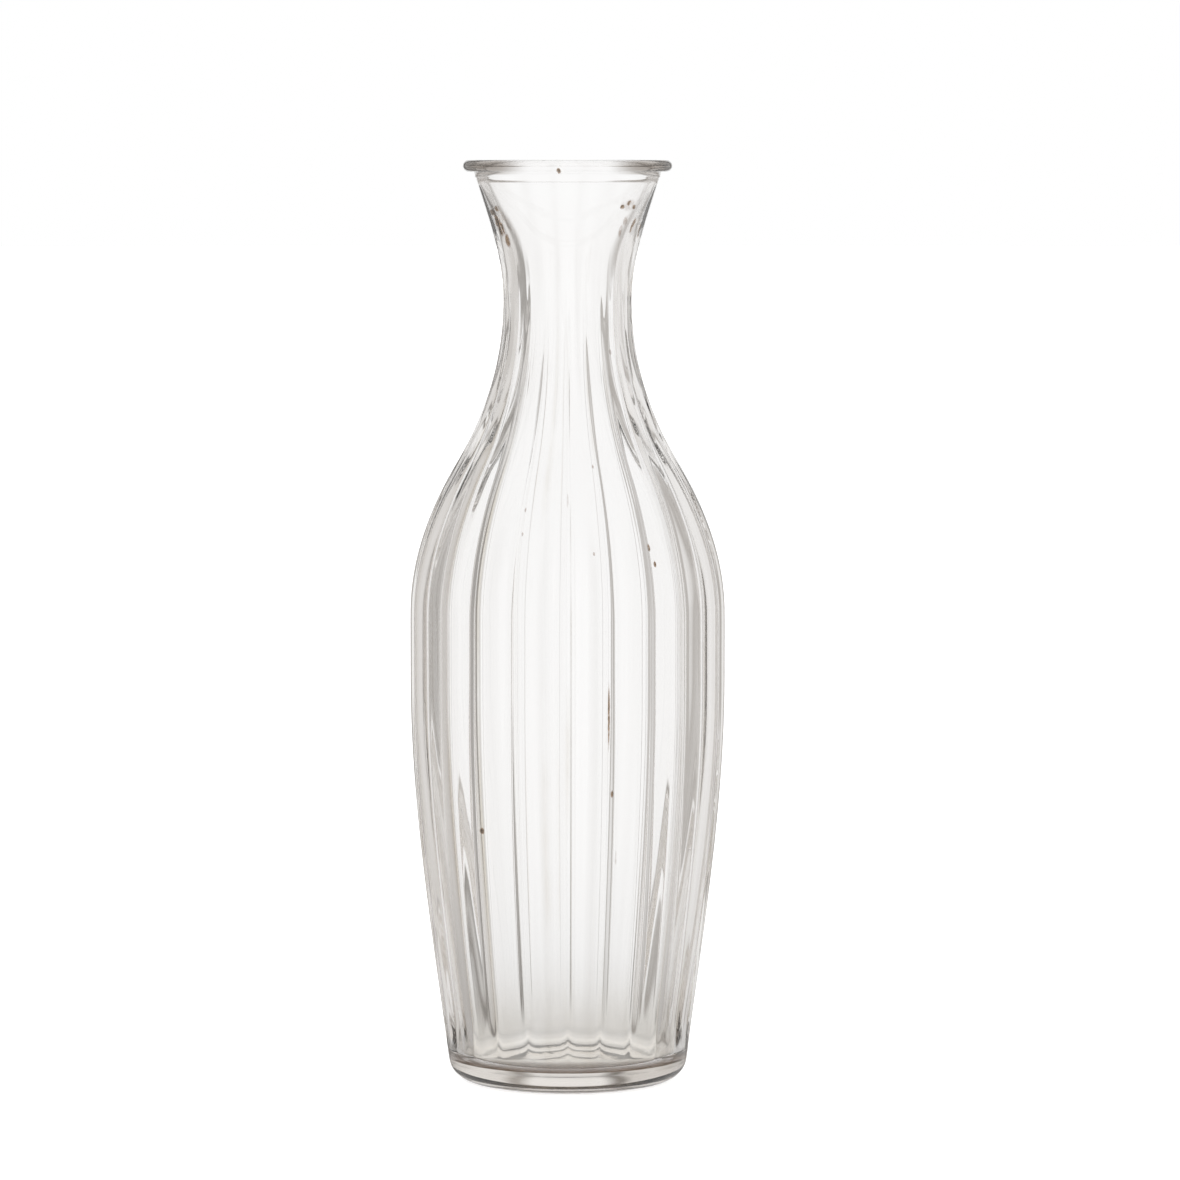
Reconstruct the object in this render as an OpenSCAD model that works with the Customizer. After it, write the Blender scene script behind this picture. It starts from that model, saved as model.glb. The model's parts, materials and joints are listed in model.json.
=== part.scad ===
// Ribbed glass bud vase.
// One piece of clear moulded glass, drawn as the zones that its mould forms: rolled rim, flared mouth,
// throat, ribbed shoulder, ribbed body and base. The zones meet face to face on level planes.
// The axis is +Z, the origin is the centre of the resting plane, and the unit is the millimetre.

/* [Overall] */
// Height from the table to the top of the rim
vase_h = 200; // [165:1:260]
// Widest diameter of the body, over the crests of the ribs
body_d = 68.5; // [56:0.1:90]
// Thickness of the glass in the body wall, at a crest
body_wall = 2.6; // [1.8:0.1:4]

/* [Base] */
// Diameter where the rounded heel runs into the side wall
foot_d = 52; // [40:0.5:62]
// Radius of the rounded heel
heel_r = 5; // [2:0.25:7]
// Lean of the side wall just above the heel, in degrees from upright
foot_lean = 7.5; // [0:0.5:12]
// Thickness of the glass floor
floor_t = 4.8; // [3:0.1:8]
// Radius of the inside corner between floor and wall
floor_fillet = 3; // [1:0.25:5]
// Thickness of the glass in the wall beside the floor
foot_wall = 3.4; // [2:0.1:5]
// Diameter of the hollow pressed into the underside
punt_d = 33; // [20:0.5:36]
// Depth of that hollow at its centre
punt_depth = 1.2; // [0.4:0.1:2.5]

/* [Body] */
// Height at which the lower wall reaches the full body diameter
belly_low_z = 88; // [50:1:98]
// Height at which the shoulder begins to turn in
belly_high_z = 102; // [92:1:120]
// Where the shoulder is steepest: 0 is where it begins and 1 is the throat
shoulder_place = 0.48; // [0.4:0.01:0.6]
// How steep the shoulder is there; 1.5 is an even curve
shoulder_steepness = 2; // [1.5:0.05:2.2]

/* [Ribs] */
// Number of ribs round the body
rib_count = 24; // [16:1:30]
// Depth of the grooves between the ribs, at the widest part
rib_depth = 0.6; // [0.2:0.05:1]
// Depth of the softer ridges on the inside, behind the grooves
inner_rib_depth = 0.25; // [0:0.05:0.5]
// Height over which the grooves run out above the base
rib_runout = 6; // [3:0.5:12]

/* [Neck] */
// Diameter of the straight bore at the narrowest point
throat_d = 22.6; // [16:0.1:30]
// Length of that straight bore
throat_l = 10; // [6:0.5:16]
// Thickness of the glass round the bore
throat_wall = 2.6; // [1.6:0.1:4]
// Distance from the top of the rim down to the middle of the bore
throat_drop = 30; // [24:0.5:38]

/* [Rim] */
// How far the rolled rim stands out past the collar
rim_overhang = 2.6; // [1.8:0.1:5]
// Thickness of the rolled rim
rim_t = 2.5; // [1.8:0.1:3.5]
// Outside diameter of the collar that carries the rim
collar_d = 40; // [33:0.1:52]
// Height of the collar, from the rim down to the mould's seam
collar_h = 1.4; // [0.8:0.1:3]
// Step between the collar and the flare below it
seam_step = 0.2; // [0.05:0.05:0.4]
// Lean of the flare under the collar, in degrees from upright
mouth_lean = 18; // [5:1:30]
// Thickness of the glass in the collar
mouth_wall = 1.5; // [1.2:0.1:2.6]
// Rounding of the rim's inner top edge
lip_round = 1.1; // [0.5:0.1:1.6]

/* [Hidden] */
$fn = 96;

glass = [0.90, 0.93, 0.92, 0.55];

// Levels of the planes where the zones meet
rim_z = vase_h - rim_t;
throat_z = vase_h - throat_drop;
land_low_z = throat_z - throat_l / 2;
land_high_z = throat_z + throat_l / 2;
land_margin = 5;
throat_low_z = land_low_z - land_margin;
throat_high_z = land_high_z + land_margin;
base_top_z = floor_t + floor_fillet + 1.2;
ribs_top_z = throat_low_z;

// Radii
body_r = body_d / 2;
throat_r = throat_d / 2;
neck_r = throat_r + throat_wall;
collar_r = collar_d / 2;
mouth_r = collar_r - mouth_wall;
heel_z = heel_r * (1 - sin(foot_lean));
contact_r = foot_d / 2 - heel_r * cos(foot_lean);

// The steepest point of the shoulder
shoulder_z = belly_high_z + shoulder_place * (throat_z - belly_high_z);
shoulder_slope = -shoulder_steepness * (body_r - neck_r) / (throat_z - belly_high_z);

// Number of flat steps that stand for a curve
rib_steps = 6;
body_rings = 11;
shoulder_rings = 15;
curve_steps = 12;

// Outline stations, each [height, radius, slope of radius over height]
outer = [
    [heel_z, foot_d / 2, tan(foot_lean)],
    [belly_low_z, body_r, 0],
    [belly_high_z, body_r, 0],
    [shoulder_z, (body_r + neck_r) / 2, shoulder_slope],
    [throat_z, neck_r, 0],
    [rim_z - collar_h, collar_r - seam_step, tan(mouth_lean)]
];
inner = [
    [heel_z, foot_d / 2 - foot_wall, tan(foot_lean)],
    [belly_low_z, body_r - body_wall, 0],
    [belly_high_z, body_r - body_wall, 0],
    [shoulder_z, (body_r + neck_r - body_wall - throat_wall) / 2 - shoulder_extra(), shoulder_slope],
    [land_low_z, throat_r, 0],
    [land_high_z, throat_r, 0],
    [rim_z - collar_h, mouth_r - collar_h * tan(mouth_lean) / 2, tan(mouth_lean)]
];

// A sloping wall is wider measured level than measured square to it
function shoulder_extra() = (body_wall + throat_wall) / 2 * (sqrt(1 + pow(shoulder_slope, 2)) - 1);

// Cubic curve from station a to station b, at height z
function span_r(a, b, z) =
    let (h = b[0] - a[0], t = (z - a[0]) / h)
    a[1] * (1 + 2 * t) * pow(1 - t, 2) + b[1] * t * t * (3 - 2 * t)
    + h * (a[2] * t * pow(1 - t, 2) + b[2] * t * t * (t - 1));

// Radius of an outline at height z
function outline_r(stations, z, i = 0) =
    (i >= len(stations) - 2 || z <= stations[i + 1][0])
        ? span_r(stations[i], stations[i + 1], z)
        : outline_r(stations, z, i + 1);

// Points of an outline between two heights
function outline_points(stations, low, high, steps) =
    [for (i = [0 : steps]) let (z = low + (high - low) * i / steps) [outline_r(stations, z), z]];

function reversed(list) = [for (i = [len(list) - 1 : -1 : 0]) list[i]];

function smooth(t) = let (c = max(0, min(1, t))) c * c * (3 - 2 * c);

// Depth of the grooves at height z: none at either end, and less where the vase is narrower
function groove_depth(z) =
    rib_depth * outline_r(outer, z) / body_r
    * smooth((z - base_top_z) / rib_runout)
    * smooth((ribs_top_z - z) / (ribs_top_z - shoulder_z));

// Share of the depth at step k of a ring: 1 in a groove, 0 on a crest
function groove_share(k) =
    let (u = (k % rib_steps) / rib_steps)
    pow(1 - 2 * min(u, 1 - u), 2);

// One ring of points at height z, on an outline with grooves of the given depth
function ring(stations, z, depth) =
    [for (k = [0 : rib_count * rib_steps - 1])
        let (a = 360 * k / (rib_count * rib_steps), r = outline_r(stations, z) - depth * groove_share(k))
        [r * cos(a), r * sin(a), z]];

// A ribbed wall between two heights, closed by level faces
module ribbed_wall(low, high, rings) {
    n = rib_count * rib_steps;
    levels = [for (i = [0 : rings]) low + (high - low) * i / rings];
    // the rings go up the outside and back down the inside, round a closed loop
    points = concat(
        [for (z = levels) each ring(outer, z, groove_depth(z))],
        [for (z = reversed(levels)) each ring(inner, z, groove_depth(z) * inner_rib_depth / rib_depth)]);
    loops = 2 * len(levels);
    faces = [for (i = [0 : loops - 1], k = [0 : n - 1])
        let (j = (i + 1) % loops, m = (k + 1) % n)
        each [[i * n + k, j * n + k, j * n + m], [i * n + k, j * n + m, i * n + m]]];
    polyhedron(points = points, faces = faces, convexity = 6);
}

// Rolled rim: a flat ring with a full round outer edge and a rounded inner top edge
module rolled_rim() color(glass) {
    round_r = rim_t / 2;
    outer_c = collar_r + rim_overhang - round_r;
    inner_c = mouth_r + lip_round;
    rotate_extrude() {
        translate([outer_c, rim_z + round_r])
            circle(r = round_r);
        translate([inner_c, rim_z])
            square([outer_c - inner_c, rim_t]);
        translate([mouth_r, rim_z])
            square([inner_c - mouth_r, rim_t - lip_round]);
        translate([inner_c, vase_h - lip_round])
            circle(r = lip_round);
    }
}

// Flared mouth: the smooth funnel, and the short collar over the mould's seam
module flared_mouth() color(glass) {
    seam_z = rim_z - collar_h;
    rotate_extrude()
        polygon(concat(
            outline_points(outer, throat_high_z, seam_z, curve_steps),
            [[collar_r, seam_z], [collar_r, rim_z], [mouth_r, rim_z]],
            reversed(outline_points(inner, throat_high_z, seam_z, curve_steps))));
}

// Throat: the waist, with a straight round bore
module throat() color(glass) {
    rotate_extrude()
        polygon(concat(
            outline_points(outer, throat_low_z, throat_high_z, curve_steps),
            reversed(outline_points(inner, land_high_z, throat_high_z, curve_steps / 2)),
            reversed(outline_points(inner, throat_low_z, land_low_z, curve_steps / 2))));
}

// Ribbed shoulder: from the straight part of the body up to the throat
module ribbed_shoulder() color(glass)
    ribbed_wall(belly_high_z, ribs_top_z, shoulder_rings);

// Ribbed body: the long wall from the base to the shoulder
module ribbed_body() color(glass)
    ribbed_wall(base_top_z, belly_high_z, body_rings);

// Base: thick floor, rounded heel, filleted inside corner and the hollow underneath
module base() color(glass) {
    inner_low_z = floor_t + floor_fillet;
    inner_low_r = outline_r(inner, inner_low_z);
    // radius of the sphere that presses the hollow
    punt_r = (pow(punt_d / 2, 2) + pow(punt_depth, 2)) / (2 * punt_depth);
    rotate_extrude()
        difference() {
            union() {
                square([contact_r, heel_z]);
                // the heel's circle, up to where the side wall leaves it
                intersection() {
                    translate([contact_r, heel_r])
                        circle(r = heel_r);
                    square([foot_d / 2, heel_z]);
                }
                polygon(concat(
                    [[0, heel_z]],
                    outline_points(outer, heel_z, base_top_z, 4),
                    [[0, base_top_z]]));
            }
            // the hollow above the floor
            translate([0, floor_t])
                square([inner_low_r - floor_fillet, base_top_z]);
            translate([inner_low_r - floor_fillet, inner_low_z])
                circle(r = floor_fillet);
            polygon(concat(
                [[0, inner_low_z]],
                outline_points(inner, inner_low_z, base_top_z, 2),
                [[outline_r(inner, base_top_z), base_top_z + 1], [0, base_top_z + 1]]));
            // the hollow underneath
            intersection() {
                translate([0, punt_depth - punt_r])
                    circle(r = punt_r);
                translate([0, -1])
                    square([punt_d / 2 + 1, punt_depth + 1]);
            }
        }
}

rolled_rim();
flared_mouth();
throat();
ribbed_shoulder();
ribbed_body();
base();
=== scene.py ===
# %% [markdown]
# # A ribbed bud vase in clear moulded glass
#
# The vase is one piece of glass, about 200 mm tall. It was pressed into a ribbed mould while it was soft, so
# its outside has soft vertical ribs with narrow valleys between them, and its inside follows them gently.
# The lip was rolled outwards into a flat rim, and the floor was left thick so that the slim vase stands
# firmly.
#
# The design model holds the vase as six zones that meet face to face. Glass can't be shown that way: two
# faces that touch would act as a mirror inside the wall. So this script makes the glass as one closed skin.

# %% Load the design model
import json
import math

import bmesh
import bpy
from mathutils import Matrix, Vector, noise


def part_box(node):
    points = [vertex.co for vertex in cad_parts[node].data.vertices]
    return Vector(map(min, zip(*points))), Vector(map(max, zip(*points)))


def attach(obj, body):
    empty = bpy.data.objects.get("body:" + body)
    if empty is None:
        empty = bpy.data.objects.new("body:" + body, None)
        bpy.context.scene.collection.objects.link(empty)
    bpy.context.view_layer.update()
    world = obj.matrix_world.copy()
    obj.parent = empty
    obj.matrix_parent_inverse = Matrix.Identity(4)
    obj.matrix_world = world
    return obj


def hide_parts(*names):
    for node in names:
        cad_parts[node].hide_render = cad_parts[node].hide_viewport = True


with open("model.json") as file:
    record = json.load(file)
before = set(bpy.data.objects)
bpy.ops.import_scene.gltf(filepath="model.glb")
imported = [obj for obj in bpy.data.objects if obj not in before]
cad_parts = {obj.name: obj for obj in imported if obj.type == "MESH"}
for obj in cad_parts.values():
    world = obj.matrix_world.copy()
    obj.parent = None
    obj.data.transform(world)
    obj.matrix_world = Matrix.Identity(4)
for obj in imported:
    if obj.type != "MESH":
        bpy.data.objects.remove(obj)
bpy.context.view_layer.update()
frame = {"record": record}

# %% [markdown]
# ## The camera
#
# The view is a product shot from a little over a metre away, with the camera level with the rim. At that
# height the round rim shows as a thin bar, and the base shows its curve. A long lens keeps the sides nearly
# parallel. The camera is made first, so that every later piece can be looked at straight away.

# %% Camera
CAMERA_DISTANCE = 1.155
CAMERA_HEIGHT = 0.1988
CAMERA_PITCH = math.radians(4.55)
CAMERA_YAW = math.radians(0.24)
LENS_MM = 162.7

camera_data = bpy.data.cameras.new("camera")
camera_data.lens = LENS_MM
camera_data.sensor_width = 36
camera_data.clip_start = 0.05
camera_data.clip_end = 50
camera = bpy.data.objects.new("camera", camera_data)
camera.location = (0, -CAMERA_DISTANCE, CAMERA_HEIGHT)
camera.rotation_euler = (math.radians(90) - CAMERA_PITCH, 0, -CAMERA_YAW)
bpy.context.collection.objects.link(camera)
bpy.context.scene.camera = camera
print("camera", tuple(camera.location))

# %% [markdown]
# ## The sizes
#
# The height, the rim, the collar, the bore and the top of the straight body are read from the design model,
# so the skin fits them. What can't be read from its zones alone, such as how thick the glass is and how
# round the edges are, repeats the design's own numbers. Only the ribs are finer than in the design.

# %% Sizes from the design model
MM = 0.001


def zone_box(zone):
    """The lowest and the highest corner of a zone of the design model."""
    low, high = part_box(zone)
    return Vector(low), Vector(high)


rim_low, rim_high = zone_box("rolled_rim")
mouth_high = zone_box("flared_mouth")[1]
throat_low, throat_high = zone_box("throat")
body_high = zone_box("ribbed_body")[1]
mounts = {m["name"]: m for m in frame["record"]["mounts"]}

VASE_H = rim_high.z
RIM_Z = rim_low.z
RIM_T = rim_high.z - rim_low.z
RIM_R = rim_high.x
COLLAR_R = mouth_high.x
BELLY_HIGH_Z = body_high.z
THROAT_Z = (throat_low.z + throat_high.z) / 2
THROAT_R = mounts["throat_bore"]["dims"]["r_mm"] * MM
THROAT_LAND = mounts["throat_bore"]["dims"]["length_mm"] * MM
print("vase", round(VASE_H, 4), "rim radius", round(RIM_R, 4), "throat radius", round(THROAT_R, 4))

# %% Sizes of the glass
BODY_R = 34.25 * MM
FOOT_R = 26 * MM
FOOT_SLOPE = math.tan(math.radians(7.5))
HEEL_R = 5 * MM
BELLY_LOW_Z = 88 * MM
SHOULDER_PLACE = 0.48
SHOULDER_STEEPNESS = 2.0
COLLAR_H = 1.4 * MM
SEAM_STEP = 0.2 * MM
MOUTH_SLOPE = math.tan(math.radians(18))

BODY_WALL = 2.6 * MM
FOOT_WALL = 3.4 * MM
THROAT_WALL = 2.6 * MM
MOUTH_WALL = 1.5 * MM
LIP_ROUND = 1.1 * MM
FLOOR_T = 4.8 * MM
FLOOR_FILLET = 3 * MM
PUNT_R = 16.5 * MM
PUNT_DEPTH = 1.2 * MM

RIBS = 24
LOBE_DEPTH = 0.3 * MM
GROOVE_DEPTH = 0.35 * MM
GROOVE_HALF_WIDTH = 0.95 * MM
INNER_LOBE_DEPTH = 0.15 * MM
rib_width = 2 * math.pi * BODY_R / RIBS
print(RIBS, "ribs, each", round(rib_width * 1000, 1), "mm wide, floor", round(FLOOR_T * 1000, 1), "mm thick")

# %% [markdown]
# ## The outline
#
# A turned shape is decided by its outline. The wall is described by a few stations, each with a height, a
# radius and a slope, and a smooth cubic curve runs from one station to the next. The outside and the inside
# each have their own stations, so the glass can be thick at the throat and thin at the lip, as it really is.

# %% Wall outlines
HEEL_Z = HEEL_R * (1 - math.sin(math.atan(FOOT_SLOPE)))
NECK_R = THROAT_R + THROAT_WALL
MOUTH_R = COLLAR_R - MOUTH_WALL
SHOULDER_Z = BELLY_HIGH_Z + SHOULDER_PLACE * (THROAT_Z - BELLY_HIGH_Z)
SHOULDER_SLOPE = -SHOULDER_STEEPNESS * (BODY_R - NECK_R) / (THROAT_Z - BELLY_HIGH_Z)
SEAM_Z = RIM_Z - COLLAR_H
MEAN_WALL = (BODY_WALL + THROAT_WALL) / 2
SHOULDER_EXTRA = MEAN_WALL * (math.hypot(1, SHOULDER_SLOPE) - 1)

OUTSIDE = [
    (HEEL_Z, FOOT_R, FOOT_SLOPE),
    (BELLY_LOW_Z, BODY_R, 0),
    (BELLY_HIGH_Z, BODY_R, 0),
    (SHOULDER_Z, (BODY_R + NECK_R) / 2, SHOULDER_SLOPE),
    (THROAT_Z, NECK_R, 0),
    (SEAM_Z, COLLAR_R - SEAM_STEP, MOUTH_SLOPE),
]
INSIDE = [
    (HEEL_Z, FOOT_R - FOOT_WALL, FOOT_SLOPE),
    (BELLY_LOW_Z, BODY_R - BODY_WALL, 0),
    (BELLY_HIGH_Z, BODY_R - BODY_WALL, 0),
    (SHOULDER_Z, (BODY_R + NECK_R) / 2 - MEAN_WALL - SHOULDER_EXTRA, SHOULDER_SLOPE),
    (THROAT_Z - THROAT_LAND / 2, THROAT_R, 0),
    (THROAT_Z + THROAT_LAND / 2, THROAT_R, 0),
    (SEAM_Z, MOUTH_R - COLLAR_H * MOUTH_SLOPE / 2, MOUTH_SLOPE),
]


def wall_radius(stations, z):
    """Radius of an outline at height z."""
    lower = max(i for i in range(len(stations) - 1) if i == 0 or stations[i][0] <= z)
    (z0, r0, s0), (z1, r1, s1) = stations[lower : lower + 2]
    h = z1 - z0
    t = (z - z0) / h
    ends = r0 * (1 + 2 * t) * (1 - t) ** 2 + r1 * t * t * (3 - 2 * t)
    slopes = s0 * t * (1 - t) ** 2 + s1 * t * t * (t - 1)
    return ends + h * slopes


for height in (0.02, 0.09, 0.13, 0.17, 0.19):
    outer, inner = wall_radius(OUTSIDE, height), wall_radius(INSIDE, height)
    print(f"z {height:.2f}  outside {outer * 1000:.1f}  wall {(outer - inner) * 1000:.1f} mm")

# %% [markdown]
# ## The closed profile
#
# The profile is one line from the middle of the underside, out round the heel, up the outside, over the rim,
# down the inside and in to the middle of the floor. Both its ends lie on the axis, so when it is spun round
# the axis it closes by itself. Round stretches are arcs and the walls are the outline curves.

# %% Profile points
ARC_STEPS = 10
ROUND_STEPS = 14
FLOOR_RINGS = 8
FINE_STEP = 1.2 * MM
BODY_STEP = 3.2 * MM
BODY_SPAN = (20 * MM, 104 * MM)


def arc(center, radius, start_deg, end_deg, steps=ARC_STEPS):
    """Points along an arc in the (radius, height) plane, both ends included."""
    angles = (math.radians(start_deg + (end_deg - start_deg) * i / steps) for i in range(steps + 1))
    return [(center[0] + radius * math.cos(a), center[1] + radius * math.sin(a)) for a in angles]


def wall(stations, z_from, z_to):
    """Points along a wall outline between two heights. The straight body needs fewer of them."""
    low, high = BODY_SPAN
    ends = [(z_from, low, FINE_STEP), (low, high, BODY_STEP), (high, z_to, FINE_STEP)]
    heights = [z_from]
    for start, end, step in ends:
        steps = round((end - start) / step)
        heights += [start + (end - start) * i / steps for i in range(1, steps + 1)]
    return [(wall_radius(stations, z), z) for z in heights]


def underside():
    """The shallow hollow under the base, as a piece of a large circle, out to the resting ring."""
    radius = (PUNT_R**2 + PUNT_DEPTH**2) / (2 * PUNT_DEPTH)
    reach = math.degrees(math.asin(PUNT_R / radius))
    return arc((0, PUNT_DEPTH - radius), radius, 90, 90 - reach)


def glass_profile():
    """The whole profile, as (radius, height) points from the underside round to the floor."""
    lean = math.degrees(math.atan(FOOT_SLOPE))
    contact_r = FOOT_R - HEEL_R * math.cos(math.radians(lean))
    heel = arc((contact_r, HEEL_R), HEEL_R, -90, -lean, ROUND_STEPS)
    outside = wall(OUTSIDE, HEEL_Z, SEAM_Z)
    seam = [(COLLAR_R, SEAM_Z + SEAM_STEP)]
    roll = arc((RIM_R - RIM_T / 2, RIM_Z + RIM_T / 2), RIM_T / 2, -90, 90, ROUND_STEPS)
    rim = [(COLLAR_R + SEAM_STEP, RIM_Z)] + roll
    lip = arc((MOUTH_R + LIP_ROUND, VASE_H - LIP_ROUND), LIP_ROUND, 90, 180)
    inside = wall(INSIDE, FLOOR_T + FLOOR_FILLET, SEAM_Z)[::-1]
    corner_r = wall_radius(INSIDE, FLOOR_T + FLOOR_FILLET) - FLOOR_FILLET
    corner = arc((corner_r, FLOOR_T + FLOOR_FILLET), FLOOR_FILLET, 0, -90)
    floor = [(corner_r * i / FLOOR_RINGS, FLOOR_T) for i in range(FLOOR_RINGS - 1, -1, -1)]
    return underside() + heel + outside + seam + rim + lip + inside + corner + floor


profile = glass_profile()
print(len(profile), "points in the profile")

# %% [markdown]
# ## The ribs
#
# Across a rib the glass is a gentle lobe, and between two ribs the mould leaves a narrow groove. A lobe and a
# bell-shaped groove added together give that shape. The ribs run out softly in the neck and at the heel.
#
# A mould opens in parts, and its parts are never quite in step. Here one part of the front is where it should
# be and the rest stands a few degrees round from it, which keeps the grooves at the back from hiding behind
# those in front. The skin of hand-finished glass is also faintly wavy, so a soft noise moves it by a few
# hundredths of a millimetre, stretched along the height because the glass was drawn that way.

# %% Rib helpers
STEPS_PER_RIB = 14
GATHER_POWER = 1.5
RIB_START_Z = 5.5 * MM
RIB_RUNOUT = 12 * MM
RIB_FADE_LOW_Z = THROAT_Z - 22 * MM
RIB_FADE_HIGH_Z = THROAT_Z + 14 * MM
MOULD_SHIFT = -4.5
IN_STEP_FROM = (-20, 0)
IN_STEP_TO = (78, 118)
# Each wave: how fast it changes around the vase and along its height, and how deep it is
WAVES = [(60, 7, 0.06 * MM), (240, 14, 0.015 * MM)]
WAVE_START_Z = 12 * MM
INSIDE_WAVE_START = Vector((3.7, 1.3, 8.1))


def smooth_step(low, high, x):
    """0 up to low, 1 from high on, and a soft S between them."""
    t = min(1, max(0, (x - low) / (high - low)))
    return t * t * (3 - 2 * t)


def rib_strength(z):
    """How deep the ribs are at height z: 0 above the throat and under the heel, 1 in the body."""
    fade_in = smooth_step(RIB_START_Z, RIB_START_Z + RIB_RUNOUT, z)
    fade_out = 1 - smooth_step(RIB_FADE_LOW_Z, RIB_FADE_HIGH_Z, z)
    return fade_in * fade_out


def gather(angle):
    """Moves an evenly spaced angle towards the nearest groove, and gives its distance from it in ribs."""
    ribs, u = divmod(angle * RIBS / (2 * math.pi) + 1e-9, 1)
    side = 1 if u <= 0.5 else -1
    distance = 0.5 * (2 * min(u, 1 - u)) ** GATHER_POWER
    groove = ribs if side == 1 else ribs + 1
    return (groove + side * distance) * 2 * math.pi / RIBS, distance


def mould_drift(angle):
    """How far the mould has turned the glass at an angle. One part of the front is in step."""
    bearing = (math.degrees(angle) + 90 + 180) % 360 - 180
    in_step = smooth_step(*IN_STEP_FROM, bearing) * (1 - smooth_step(*IN_STEP_TO, bearing))
    return math.radians(MOULD_SHIFT * (1 - in_step))


def waviness(position, inside):
    """How far the soft noise moves a point of the skin."""
    start = INSIDE_WAVE_START if inside else Vector((0, 0, 0))
    total = 0
    for around, along, height in WAVES:
        stretched = Vector((position.x * around, position.y * around, position.z * along))
        total += height * noise.noise(stretched + start)
    return total


for height in (0.008, 0.012, 0.05, 0.15, 0.18):
    print(f"z {height:.3f}  rib strength {rib_strength(height):.2f}")

# %% Pressing the ribs
WALL_LEAST_R = THROAT_R * 0.9
POLE_R = 1 * MM
FLOOR_MARGIN = 0.1 * MM


def press_ribs(bm):
    """Moves the spun skin in at the grooves, and marks the grooves and the inside for the materials."""
    groove_mark = bm.verts.layers.float.new("groove")
    inside_mark = bm.verts.layers.float.new("inside")
    for vert in bm.verts:
        x, y, z = vert.co
        radius = math.hypot(x, y)
        on_wall = radius > WALL_LEAST_R and RIB_START_Z < z < SEAM_Z
        outer, inner = wall_radius(OUTSIDE, z), wall_radius(INSIDE, z)
        inside = z > FLOOR_T - FLOOR_MARGIN and radius < (outer + inner) / 2
        vert[inside_mark] = 1.0 if inside else 0.0
        if radius < POLE_R:
            continue
        angle, distance = gather(math.atan2(y, x))
        if on_wall:
            size = outer / BODY_R
            across = distance * 2 * math.pi * BODY_R / RIBS
            lobe = (1 - 2 * distance) ** 2
            groove = math.exp(-((across / GROOVE_HALF_WIDTH) ** 2))
            strength = rib_strength(z)
            if inside:
                depth = INNER_LOBE_DEPTH * lobe
                vert[groove_mark] = lobe
            else:
                depth = LOBE_DEPTH * lobe + GROOVE_DEPTH * groove
                vert[groove_mark] = groove * strength
            wave = waviness(vert.co, inside) * smooth_step(RIB_START_Z, WAVE_START_Z, z)
            radius += wave - depth * strength * size
        angle += mould_drift(angle)
        vert.co.x = radius * math.cos(angle)
        vert.co.y = radius * math.sin(angle)


# %% [markdown]
# ## Spinning the glass
#
# `bmesh.ops.spin` turns the profile round the axis. Each rib gets the same number of steps, so that every
# groove falls on a row of vertices and stays crisp. The ribs are then pressed in by moving those vertices
# towards the axis, as the mould does.

# %% Spin helpers
def spin_profile(points, steps):
    """A closed bmesh made by turning a profile of (radius, height) points round the Z axis."""
    bm = bmesh.new()
    verts = [bm.verts.new((0, -r, z)) for r, z in points]
    edges = [bm.edges.new(pair) for pair in zip(verts, verts[1:])]
    bmesh.ops.spin(
        bm, geom=verts + edges, cent=(0, 0, 0), axis=(0, 0, 1), angle=2 * math.pi, steps=steps, use_merge=True
    )
    bmesh.ops.remove_doubles(bm, verts=bm.verts, dist=1e-7)
    bmesh.ops.recalc_face_normals(bm, faces=bm.faces)
    return bm


def make_piece(name, bm):
    """Turns a bmesh into a smooth object that rides on the vase."""
    mesh = bpy.data.meshes.new(name)
    bm.to_mesh(mesh)
    bm.free()
    mesh.shade_smooth()
    piece = bpy.data.objects.new(name, mesh)
    bpy.context.collection.objects.link(piece)
    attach(piece, "root")
    return piece


# %% The glass skin
glass_bm = spin_profile(profile, RIBS * STEPS_PER_RIB)
press_ribs(glass_bm)
print("glass skin:", len(glass_bm.faces), "faces, volume", round(glass_bm.calc_volume() * 1e6, 1), "cm3")
vase = make_piece("vase_glass", glass_bm)
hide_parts("rolled_rim", "flared_mouth", "throat", "ribbed_shoulder", "ribbed_body", "base")

# %% [markdown]
# ## Shader maths as Python
#
# Materials are built from nodes. To keep them readable, a small class wraps a socket, so that an expression
# such as `1 - mask * 0.5` adds the Math nodes by itself.

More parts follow.
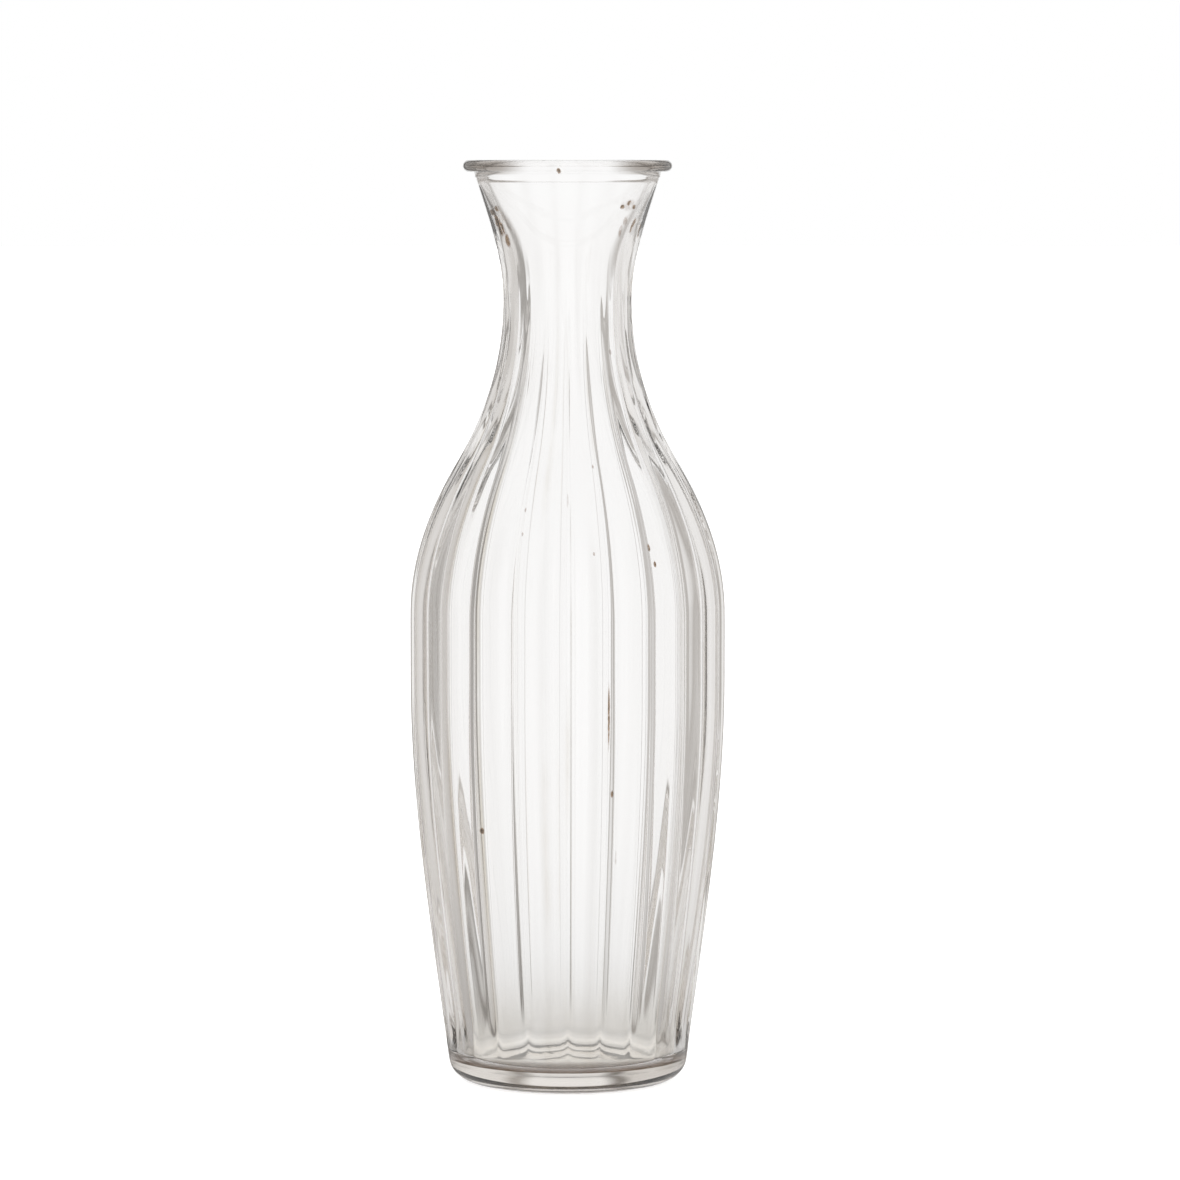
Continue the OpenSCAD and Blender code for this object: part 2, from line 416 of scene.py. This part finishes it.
# %% Shader helper
class Socket:
    """A node's output that can be used in Python expressions."""

    def __init__(self, tree, output):
        self.tree = tree
        self.output = output

    def node(self, kind, inputs=(), **settings):
        """Adds a node, sets its settings, then sets or links its inputs."""
        node = self.tree.nodes.new(kind)
        for key, value in settings.items():
            if key == "stops":
                ramp = node.color_ramp
                while len(ramp.elements) < len(value):
                    ramp.elements.new(0.5)
                for element, (place, color) in zip(ramp.elements, value):
                    element.position = place
                    element.color = color
            else:
                setattr(node, key, value)
        for key, value in dict(inputs).items():
            if isinstance(value, Socket):
                self.tree.links.new(value.output, node.inputs[key])
            else:
                node.inputs[key].default_value = value
        return node

    def wrap(self, node, name=0):
        """One of a node's outputs, ready for more maths."""
        return Socket(self.tree, node.outputs[name])

    def math(self, operation, other=0.0, swap=False):
        """A Math node on this value and another, or on the two the other way round."""
        first, second = (other, self) if swap else (self, other)
        return self.wrap(self.node("ShaderNodeMath", {0: first, 1: second}, operation=operation))

    def __add__(self, other):
        return self.math("ADD", other)

    def __sub__(self, other):
        return self.math("SUBTRACT", other)

    def __rsub__(self, other):
        return self.math("SUBTRACT", other, swap=True)

    def __mul__(self, other):
        return self.math("MULTIPLY", other)

    __radd__ = __add__
    __rmul__ = __mul__

    def mix_to(self, low, high):
        """A colour between low and high, with this value as the factor."""
        node = self.node("ShaderNodeMix", {0: self, 6: low, 7: high}, data_type="RGBA")
        return self.wrap(node, 2)

    def remap(self, low, high, out_low=0.0, out_high=1.0):
        """Moves this value from one range to another with a soft start and end."""
        values = {"From Min": low, "From Max": high, "To Min": out_low, "To Max": out_high}
        node = self.node("ShaderNodeMapRange", {"Value": self, **values}, interpolation_type="SMOOTHSTEP")
        return self.wrap(node)


def new_material(name):
    """An empty node material: the material, its shader node and its object coordinates."""
    material = bpy.data.materials.new(name)
    material.use_nodes = True
    tree = material.node_tree
    shader = tree.nodes["Principled BSDF"]
    coords = tree.nodes.new("ShaderNodeTexCoord")
    return material, shader, Socket(tree, coords.outputs["Object"])


# %% [markdown]
# ## The glass
#
# Clear soda glass bends light by an index of about 1.52. It is never quite colourless: light that travels
# far inside it, along the wall at the sides of the vase, comes out a little darker and warmer. A volume
# absorption does that by itself, and gives the grey lines that draw the vase's edges.
#
# This vase has been used. Hard water has left a thin brown-grey film in the bottom and in the grooves, a few
# brown stains under the lip, and small specks and scratches. The film is partly painted shade: it darkens the
# glass towards the bottom and along the groove lines, most of all in the grooves at the front left, and the
# two ends of the rolled rim are tinted darker. They are a tint in the glass's Base Color, which colours the
# light that goes through each face. The marks are placed by their bearing and height.

# %% Glass material
GLASS_IOR = 1.52
ABSORPTION_PER_M = 14.0
ABSORPTION_COLOR = (0.70, 0.64, 0.57, 1)

glass_material, glass, place = new_material("clear_glass")
glass.inputs["Roughness"].default_value = 0.0
glass.inputs["IOR"].default_value = GLASS_IOR
glass.inputs["Transmission Weight"].default_value = 1.0
absorb = place.node("ShaderNodeVolumeAbsorption", {"Color": ABSORPTION_COLOR, "Density": ABSORPTION_PER_M})
tree = glass_material.node_tree
tree.links.new(absorb.outputs[0], tree.nodes["Material Output"].inputs["Volume"])
vase.data.materials.append(glass_material)
print("glass bends light by", GLASS_IOR, "and absorbs", ABSORPTION_PER_M, "per metre")

# %% Film of hard water and painted shade
CLEAR = (1, 1, 1, 1)
# Tint of the film, which also paints shade into the bottom and the grooves
FILM_AND_SHADE_TINT = (0.62, 0.56, 0.46, 1)
RIM_TINT = (0.20, 0.155, 0.115, 1)
RUST_TINT = (0.20, 0.10, 0.045, 1)
DIRT_TINT = (0.03, 0.018, 0.01, 1)


def vertex_mark(start, name):
    """A number that the skin's vertices carry, as a socket."""
    return start.wrap(start.node("ShaderNodeAttribute", attribute_name=name), "Fac")


def streaky_noise(start, around, along, detail=3.0):
    """Noise between 0 and 1 with its own scale around the vase and along its height."""
    mapping = start.node("ShaderNodeMapping", {"Vector": start, "Scale": (around, around, along)})
    stretched = start.wrap(mapping)
    return start.wrap(start.node("ShaderNodeTexNoise", {"Vector": stretched, "Scale": 1.0, "Detail": detail}))


# %% Where the film and the painted shade lie
# Each span says where a mask begins and where it is full
FRONT_SPAN = (12 * MM, -16 * MM)
LEFT_SPAN = (-9 * MM, -17 * MM)
# Film and painted shade in the bottom: the glass is tinted darker towards the bottom
LOW_FILM_AND_SHADE_SPAN = (26 * MM, 5 * MM)
# The top of the rolled rim, where its two ends are tinted darker
RIM_TOP_SPAN = (197.3 * MM, 197.8 * MM)
RIM_ENDS_SPAN = (8 * MM, 15 * MM)
# How strongly each film, with its painted shade, tints the glass
LOW_FILM_AND_SHADE_WEIGHT = 0.55
GROOVE_FILM_AND_SHADE_WEIGHT = 0.45
RIM_ENDS_WEIGHT = 0.75

parts = place.node("ShaderNodeSeparateXYZ", {0: place})
across = place.wrap(parts, "X")
depth = place.wrap(parts, "Y")
height = place.wrap(parts, "Z")
inside = vertex_mark(place, "inside")
outside = 1 - inside
groove = vertex_mark(place, "groove")
in_front = depth.remap(*FRONT_SPAN)
left = across.remap(*LEFT_SPAN) * in_front

# In the bottom, inside: film, and painted shade that darkens the glass towards the bottom
low_film_and_shade = inside * height.remap(*LOW_FILM_AND_SHADE_SPAN) * streaky_noise(place, 90, 30).remap(0.2, 0.6, 0.5, 1.0)

# In the grooves outside, film and painted shade that deepens the groove lines; and darker at the two ends of
# the rolled rim
groove_line = outside * groove * groove
groove_film_and_shade = groove_line * streaky_noise(place, 60, 22).remap(0.50, 0.72)
# Dirt and painted shade in the grooves at the front left, where the groove lines are darkest
left_dirt_and_shade = groove_line * left * streaky_noise(place, 45, 14).remap(0.30, 0.60)
# Darker on top of the rolled rim at its two ends, away from the front and the back
rim_ends_dark = height.remap(*RIM_TOP_SPAN) * across.math("ABSOLUTE").remap(*RIM_ENDS_SPAN)

# Film together with painted shade: darker in the bottom and along the grooves
film_and_shade = (low_film_and_shade * LOW_FILM_AND_SHADE_WEIGHT).math("MAXIMUM", groove_film_and_shade * GROOVE_FILM_AND_SHADE_WEIGHT)
film_and_shade = film_and_shade.math("MAXIMUM", left_dirt_and_shade)
print("film lies inside up to", round(LOW_FILM_AND_SHADE_SPAN[0] * 1000), "mm above the table")

# %% Stains, specks and scratches
# Each mark: bearing from the front in degrees, height, half width and half height in mm, and strength
MARKS = [
    (-68, 188.8, 2.4, 0.8, 0.8),
    (-64, 187.0, 1.8, 1.6, 0.8),
    (-60, 185.2, 1.6, 1.8, 1.0),
    (-55, 182.8, 1.2, 1.8, 0.7),
    (47, 190.4, 3.0, 1.5, 0.35),
    (41, 190.0, 0.7, 0.6, 1.0),
    (47, 190.8, 0.8, 0.7, 1.0),
    (53, 190.0, 0.8, 0.6, 1.0),
    (47, 187.0, 0.8, 1.4, 0.5),
    (44, 184.8, 0.7, 1.6, 0.5),
    (71, 185.0, 0.9, 2.0, 0.8),
    (-5, 197.6, 0.5, 0.8, 1.0),
    (38, 159.0, 0.35, 0.8, 0.6),
    (13, 135.0, 0.3, 0.5, 0.5),
    (0, 128.0, 0.25, 2.0, 0.3),
    (-18.5, 126.0, 0.3, 0.6, 0.5),
    (-18.5, 121.0, 0.3, 0.5, 0.5),
    (10, 117.0, 0.3, 0.5, 0.5),
    (33, 118.0, 0.4, 1.0, 0.8),
    (34.5, 114.5, 0.4, 0.8, 0.8),
    (15, 82.5, 0.3, 8.0, 0.8),
    (16.5, 66.0, 0.35, 1.0, 0.7),
    (-34.5, 57.5, 0.7, 0.8, 0.9),
    (18.5, 52.0, 0.25, 2.2, 0.35),
]

bearing_here = across.math("ARCTAN2", depth * -1.0)


def mark_mask(bearing, z_mm, half_width, half_height, strength):
    """Full in the middle of a mark and 0 past its edge, measured round the vase and along its height."""
    radius = wall_radius(OUTSIDE, z_mm * MM)
    aside = (bearing_here - math.radians(bearing)) * (radius / (half_width * MM))
    above = (height - z_mm * MM) * (1 / (half_height * MM))
    return (aside * aside + above * above).remap(1.2, 0.1) * strength


masks = [mark_mask(*mark) for mark in MARKS]
marks = masks[0]
for mask in masks[1:]:
    marks = marks.math("MAXIMUM", mask)
grain = streaky_noise(place, 900, 500, 2.0).remap(0.25, 0.55, 0.25, 1.0)
marks = marks * grain * outside
# The film with its painted shade, and the darker rim ends, lie under the stains and specks
filmed_and_shaded = (rim_ends_dark * RIM_ENDS_WEIGHT).mix_to(film_and_shade.mix_to(CLEAR, FILM_AND_SHADE_TINT), RIM_TINT)
stained = marks.remap(0.0, 0.7).mix_to(filmed_and_shaded, RUST_TINT)
tinted = marks.remap(0.4, 1.0).mix_to(stained, DIRT_TINT)
tree.links.new(tinted.output, glass.inputs["Base Color"])
mark_heights = [mark[1] for mark in MARKS]
print(len(MARKS), "marks, from", min(mark_heights), "to", max(mark_heights), "mm up")

# %% [markdown]
# ## Settled dirt
#
# Settled dirt in the corner between floor and wall isn't clear: it hides the glass under it. The same dull
# brown also paints shade into that corner, as a dark line at the front. A tint in the glass can't show that,
# because the glass still mirrors the light there. So the dirt and painted shade are a dull brown shader of
# their own, and a Mix Shader lays it over the glass where the mask says so. It lies thick in the corner and
# thins out across the floor, at the front only.

# %% Settled dirt and painted shade
# Dull brown of the dirt, which also paints shade into the corner
DIRT_AND_SHADE_BROWN = (0.22, 0.15, 0.10, 1)
CORNER_SPAN = (7.6 * MM, 5.2 * MM)
FLOOR_EDGE = (4.81 * MM, 4.9 * MM)
FLOOR_SPAN = (4 * MM, -19 * MM)
CORNER_WEIGHT = 0.9
FLOOR_WEIGHT = 0.6

on_corner = height.remap(*FLOOR_EDGE)
on_floor = height.remap(*FLOOR_EDGE[::-1])
corner_dirt_and_shade = height.remap(*CORNER_SPAN) * on_corner * CORNER_WEIGHT
floor_dirt_and_shade = on_floor * depth.remap(*FLOOR_SPAN) * FLOOR_WEIGHT
# Dirt and painted shade in the corner and across the floor, at the front only
settled_dirt_and_shade = inside * in_front * (corner_dirt_and_shade + floor_dirt_and_shade)
dirt_and_shade = place.node("ShaderNodeBsdfPrincipled", {"Base Color": DIRT_AND_SHADE_BROWN, "Roughness": 1.0})
covered = place.node("ShaderNodeMixShader", {0: settled_dirt_and_shade})
tree.links.new(glass.outputs[0], covered.inputs[1])
tree.links.new(dirt_and_shade.outputs[0], covered.inputs[2])
tree.links.new(covered.outputs[0], tree.nodes["Material Output"].inputs["Surface"])
print("glass material has", len(tree.nodes), "nodes")

# %% [markdown]
# ## Floor and light
#
# Clear glass has no colour of its own: it shows whatever stands around it. So a white card is put behind the
# vase, with a dark gap beside it. Where the glass is flat it shows the card, and wherever a rib or an edge
# bends the view aside it catches the gap, as a fine dark line.
#
# Here the room is a ring of tones: a white card behind the vase, a narrow dark gap at each side of it, and a
# bright room with a few dim gaps elsewhere. The camera itself sees a plain white floor. To the glass the
# floor is clear, so that the ring shows through it, but for a soft shade near the foot.

# %% Tones of the room
def warm_grey(level):
    """A grey of the given level, warmer where it is darker."""
    warmth = 0.10 * max(0, 1 - level)
    return (level, level * (1 - warmth), level * (1 - 2 * warmth), 1)


# Bearing in degrees, where 0 is behind the vase and the right is positive, and the level of grey there
ROOM_RING = [
    (-180, 1.15),
    (-167, 1.05),
    (-161, 0.40),
    (-155, 1.00),
    (-135, 1.05),
    (-117, 0.45),
    (-105, 0.90),
    (-90, 0.90),
    (-72, 0.55),
    (-55, 0.62),
    (-38, 0.75),
    (-24, 0.70),
    (-19.5, 0.24),
    (-17.5, 0.24),
    (-12, 0.97),
    (12, 0.98),
    (17.5, 0.42),
    (19.5, 0.42),
    (25, 0.82),
    (45, 0.88),
    (62, 0.70),
    (73, 0.60),
    (85, 0.95),
    (100, 0.95),
    (112, 0.50),
    (124, 1.05),
    (148, 1.05),
    (157, 0.50),
    (167, 1.05),
    (180, 1.15),
]
CARD_WHITE = warm_grey(1.0)
STEEP_SPAN = (0.35, 0.8)
print("room ring of", len(ROOM_RING), "tones, darkest", min(level for bearing, level in ROOM_RING))


def room_tone(toward):
    """The colour of the room in a direction. Steeply up or down it is the white of the card."""
    split = toward.node("ShaderNodeSeparateXYZ", {0: toward})
    aside, away = toward.wrap(split, "X"), toward.wrap(split, "Y")
    turn = aside.math("ARCTAN2", away) * (0.5 / math.pi) + 0.5
    stops = [(bearing / 360 + 0.5, warm_grey(level)) for bearing, level in ROOM_RING]
    ramp = toward.node("ShaderNodeValToRGB", {0: turn}, stops=stops)
    steep = toward.wrap(split, "Z").math("ABSOLUTE").remap(*STEEP_SPAN)
    return steep.mix_to(toward.wrap(ramp), CARD_WHITE)


# %% Floor
FLOOR_R = 12.0
FLOOR_DROP = 0.05 * MM
NEAR_SHADE = 0.42
NEAR_REACH = 0.10
NEAR_EDGE = (24 * MM, 40 * MM)

floor_bm = bmesh.new()
bmesh.ops.create_circle(floor_bm, cap_ends=True, segments=96, radius=FLOOR_R)
floor_mesh = bpy.data.meshes.new("floor")
floor_bm.to_mesh(floor_mesh)
floor_bm.free()
floor_mesh.transform(Matrix.Translation((0, 0, -FLOOR_DROP)))
floor = bpy.data.objects.new("floor", floor_mesh)
bpy.context.collection.objects.link(floor)
print("floor", 2 * FLOOR_R, "m across, just under the resting ring")

# %% Floor material
floor_material, floor_shader, floor_place = new_material("pale_floor")
floor_shader.inputs["Base Color"].default_value = (0.9, 0.9, 0.9, 1)
floor_shader.inputs["Roughness"].default_value = 1.0
floor_shader.inputs["Emission Color"].default_value = (1, 1, 1, 1)
floor_shader.inputs["Emission Strength"].default_value = 0.7
length = floor_place.node("ShaderNodeVectorMath", {0: floor_place}, operation="LENGTH")
distance = floor_place.wrap(length, "Value")
shade = (distance * (-1 / NEAR_REACH)).math("EXPONENT") * distance.remap(*NEAR_EDGE) * NEAR_SHADE
clear = floor_place.wrap(floor_place.node("ShaderNodeBsdfTransparent", {"Color": (1, 1, 1, 1)}))
dark = floor_place.wrap(floor_place.node("ShaderNodeEmission", {"Color": (0, 0, 0, 1), "Strength": 0.0}))
glass_view = floor_place.wrap(floor_place.node("ShaderNodeMixShader", {0: shade, 1: clear, 2: dark}))
ray = floor_place.wrap(floor_place.node("ShaderNodeLightPath"), "Is Camera Ray")
plain = Socket(floor_place.tree, floor_shader.outputs[0])
both = floor_place.node("ShaderNodeMixShader", {0: ray, 1: glass_view, 2: plain})
floor_tree = floor_material.node_tree
floor_tree.links.new(both.outputs[0], floor_tree.nodes["Material Output"].inputs["Surface"])
floor.data.materials.append(floor_material)
print("floor material has", len(floor_tree.nodes), "nodes")

# %% Room light
world = bpy.data.worlds.new("room")
world.use_nodes = True
bpy.context.scene.world = world
room_tree = world.node_tree
background = room_tree.nodes["Background"]
direction = Socket(room_tree, room_tree.nodes.new("ShaderNodeTexCoord").outputs["Generated"])
seen = direction.wrap(direction.node("ShaderNodeLightPath"), "Is Camera Ray")
sky = seen.mix_to(room_tone(direction), CARD_WHITE)
room_tree.links.new(sky.output, background.inputs["Color"])
background.inputs["Strength"].default_value = 1.0
print("room light has", len(room_tree.nodes), "nodes")

# %% Picture settings
scene = bpy.context.scene
scene.view_settings.view_transform = "Standard"
scene.cycles.max_bounces = 32
scene.cycles.transmission_bounces = 32
scene.cycles.glossy_bounces = 16
scene.cycles.diffuse_bounces = 3
print("light may pass through", scene.cycles.transmission_bounces, "faces of glass")
